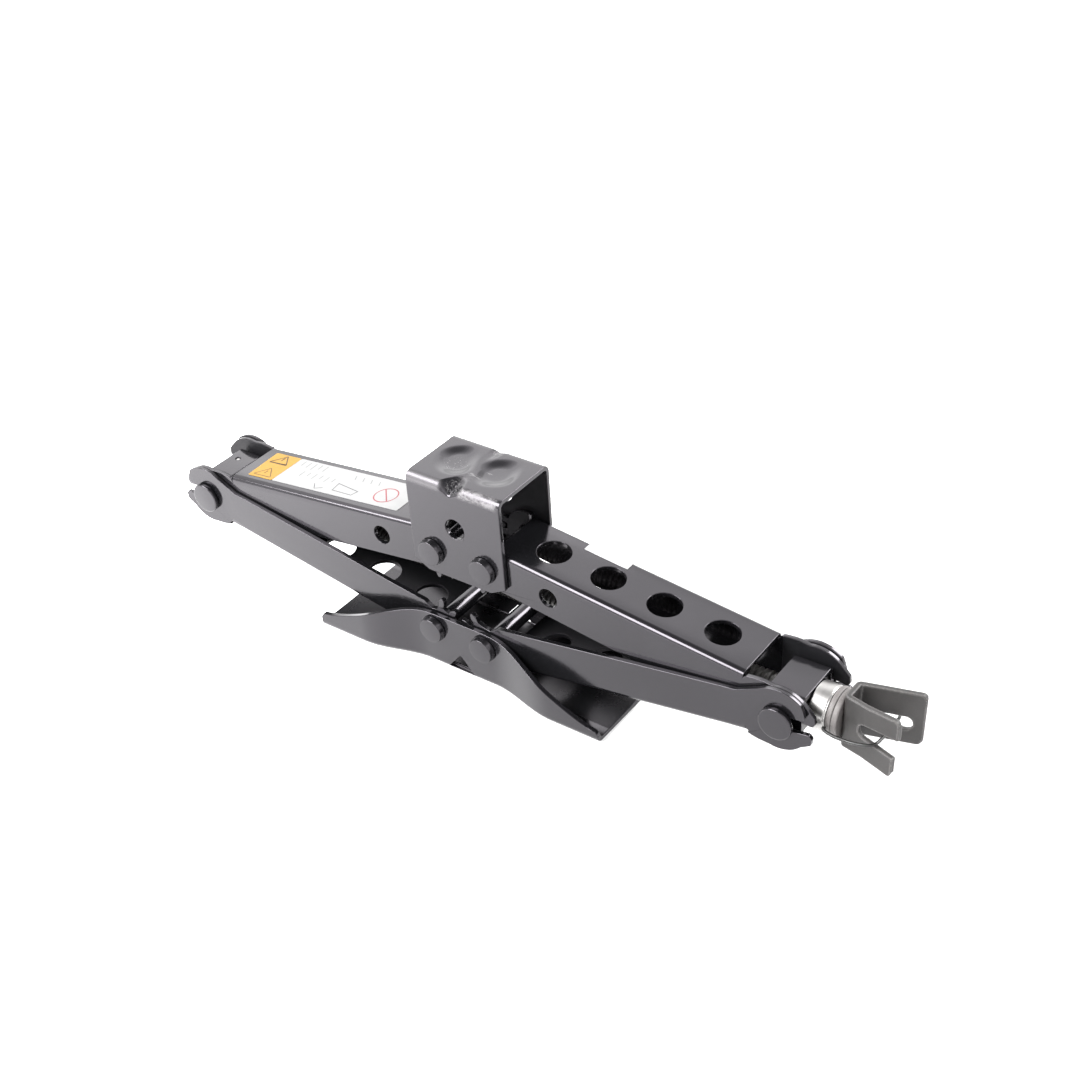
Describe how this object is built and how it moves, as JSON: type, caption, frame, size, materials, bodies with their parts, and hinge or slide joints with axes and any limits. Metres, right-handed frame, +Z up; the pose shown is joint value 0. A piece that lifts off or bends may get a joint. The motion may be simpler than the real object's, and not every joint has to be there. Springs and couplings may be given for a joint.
{
  "type": "scissor jack",
  "caption": "Folding scissor jack: flanged base, geared channel arms, notched saddle, and a lead screw between two yokes, turned at a crank clevis.",
  "frame": {"origin": "middle of the base plate's underside, on the ground, halfway between the two base pins", "axes": "+X along the lead screw towards the crank clevis, +Z up from the base to the saddle, -Y the front"},
  "size_m": [0.4582, 0.0726, 0.1185],
  "materials": {
    "black_paint": "gloss black paint over pressed sheet steel",
    "dark_steel": "dark oiled steel",
    "zinc_plate": "bright zinc plate",
    "phosphated_steel": "grey-brown phosphate",
    "label_film": "printed self-adhesive film"
  },
  "bodies": {
    "base": {"base_plate": "black_paint", "base_pin_left": "black_paint", "base_pin_right": "black_paint"},
    "lower_left": {"lower_arm_left": "black_paint"},
    "lower_right": {"lower_arm_right": "black_paint"},
    "upper_left": {"upper_arm_left": "black_paint", "caution_label": "label_film"},
    "upper_right": {"upper_arm_right": "black_paint", "blank_sticker": "label_film"},
    "saddle": {"saddle_bracket": "black_paint", "saddle_pin_left": "black_paint", "saddle_pin_right": "black_paint"},
    "nut": {"nut_yoke": "black_paint", "screw_nut": "dark_steel", "nut_yoke_pin_front": "black_paint", "nut_yoke_pin_back": "black_paint"},
    "thrust": {"thrust_yoke": "black_paint", "thrust_block": "dark_steel", "thrust_yoke_pin_front": "black_paint", "thrust_yoke_pin_back": "black_paint"},
    "screw": {"lead_screw": "dark_steel", "thrust_bush": "zinc_plate", "thrust_washer": "phosphated_steel", "crank_clevis": "phosphated_steel", "wire_clip": "dark_steel"}
  },
  "joints": [
    {"name": "lift", "type": "hinge", "parent": "base", "child": "lower_left", "pos_m": [-0.017, 0, 0.025], "axis": [0, 1, 0], "range_deg": [-1.2, 48]},
    {"name": "lower_right_hinge", "type": "hinge", "parent": "base", "child": "lower_right", "pos_m": [0.017, 0, 0.025], "axis": [0, 1, 0], "range_deg": [-48, 1.2]},
    {"name": "nut_hinge", "type": "hinge", "parent": "lower_left", "child": "nut", "pos_m": [-0.18996, 0, 0.04891], "axis": [0, 1, 0], "range_deg": [-48, 1.2]},
    {"name": "upper_left_hinge", "type": "hinge", "parent": "lower_left", "child": "upper_left", "pos_m": [-0.18996, 0, 0.04891], "axis": [0, 1, 0], "range_deg": [-96, 2.4]},
    {"name": "saddle_hinge", "type": "hinge", "parent": "upper_left", "child": "saddle", "pos_m": [-0.017, 0, 0.07281], "axis": [0, 1, 0], "range_deg": [-1.2, 48]},
    {"name": "upper_right_hinge", "type": "hinge", "parent": "saddle", "child": "upper_right", "pos_m": [0.017, 0, 0.07281], "axis": [0, 1, 0], "range_deg": [-1.2, 48]},
    {"name": "thrust_hinge", "type": "hinge", "parent": "lower_right", "child": "thrust", "pos_m": [0.18996, 0, 0.04891], "axis": [0, 1, 0], "range_deg": [-1.2, 48]},
    {"name": "screw_turn", "type": "hinge", "parent": "thrust", "child": "screw", "pos_m": [0.18996, 0, 0.04891], "axis": [1, 0, 0], "continuous": true}
  ],
  "couplings": [
    {"joint": "lower_right_hinge", "follows": "lift", "ratio": -1},
    {"joint": "nut_hinge", "follows": "lift", "ratio": -1},
    {"joint": "upper_left_hinge", "follows": "lift", "ratio": -2},
    {"joint": "saddle_hinge", "follows": "lift", "ratio": 1},
    {"joint": "upper_right_hinge", "follows": "lift", "ratio": 1},
    {"joint": "thrust_hinge", "follows": "lift", "ratio": 1}
  ]
}
